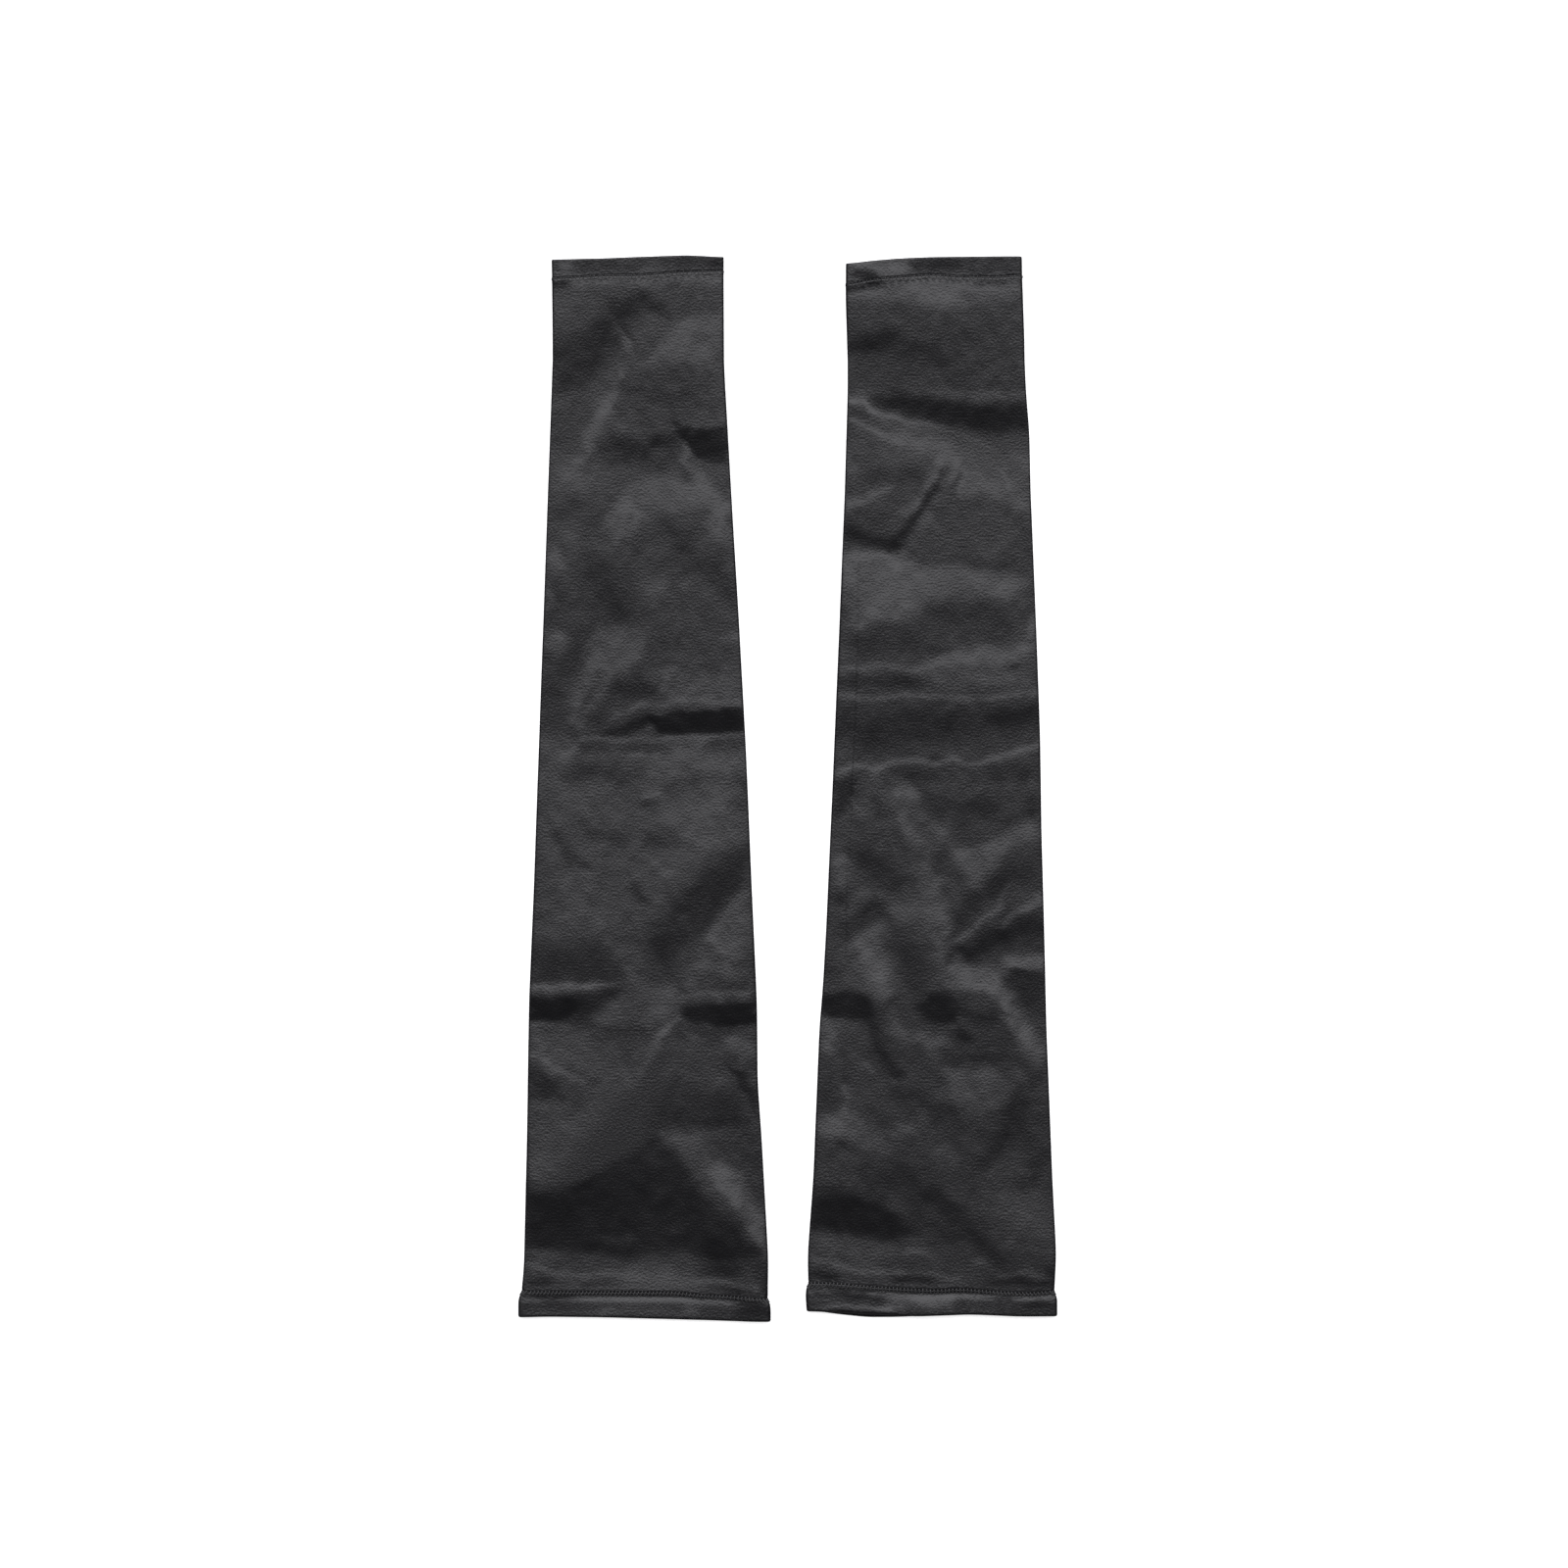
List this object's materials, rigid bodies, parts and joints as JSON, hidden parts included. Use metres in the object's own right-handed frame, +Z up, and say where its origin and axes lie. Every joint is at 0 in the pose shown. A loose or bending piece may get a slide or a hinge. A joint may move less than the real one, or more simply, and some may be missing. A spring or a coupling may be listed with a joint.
{
  "type": "opera gloves",
  "caption": "Long fingerless satin opera gloves, laid flat side by side: tapered open tubes with a turned, stitched hem at the hand end and an elasticated hem at the arm end.",
  "frame": {"origin": "on the table, under the middle of the pair's box", "axes": "+Y towards the hand ends, +X towards the right-hand glove, +Z up off the table"},
  "size_m": [0.278, 0.542, 0.0086],
  "materials": {
    "satin": "black stretch satin, soft sheen along the length",
    "thread": "black polyester thread",
    "elastic": "black woven elastic tape"
  },
  "bodies": {
    "left_upper_arm": {"left_upper_arm_sleeve": "satin", "left_arm_hem": "satin", "left_arm_hem_stitches": "thread", "left_arm_elastic": "elastic", "left_upper_arm_seam_allowance": "satin", "left_upper_arm_overlock_thread": "thread"},
    "left_forearm": {"left_forearm_sleeve": "satin", "left_wrist_hem": "satin", "left_wrist_hem_stitches": "thread", "left_forearm_seam_allowance": "satin", "left_forearm_overlock_thread": "thread"},
    "right_upper_arm": {"right_upper_arm_sleeve": "satin", "right_arm_hem": "satin", "right_arm_hem_stitches": "thread", "right_arm_elastic": "elastic", "right_upper_arm_seam_allowance": "satin", "right_upper_arm_overlock_thread": "thread"},
    "right_forearm": {"right_forearm_sleeve": "satin", "right_wrist_hem": "satin", "right_wrist_hem_stitches": "thread", "right_forearm_seam_allowance": "satin", "right_forearm_overlock_thread": "thread"}
  },
  "joints": [
    {"name": "left_elbow_fold", "type": "hinge", "parent": "left_upper_arm", "child": "left_forearm", "pos_m": [-0.0745, 0, 0.0084], "axis": [1, 0, 0], "range_deg": [0, 180]},
    {"name": "right_glove_slide", "type": "slide", "parent": "left_upper_arm", "child": "right_upper_arm", "axis": [1, 0, 0], "range_m": [0, 0.15]},
    {"name": "right_elbow_fold", "type": "hinge", "parent": "right_upper_arm", "child": "right_forearm", "pos_m": [0.0745, 0, 0.0084], "axis": [1, 0, 0], "range_deg": [0, 180]}
  ]
}
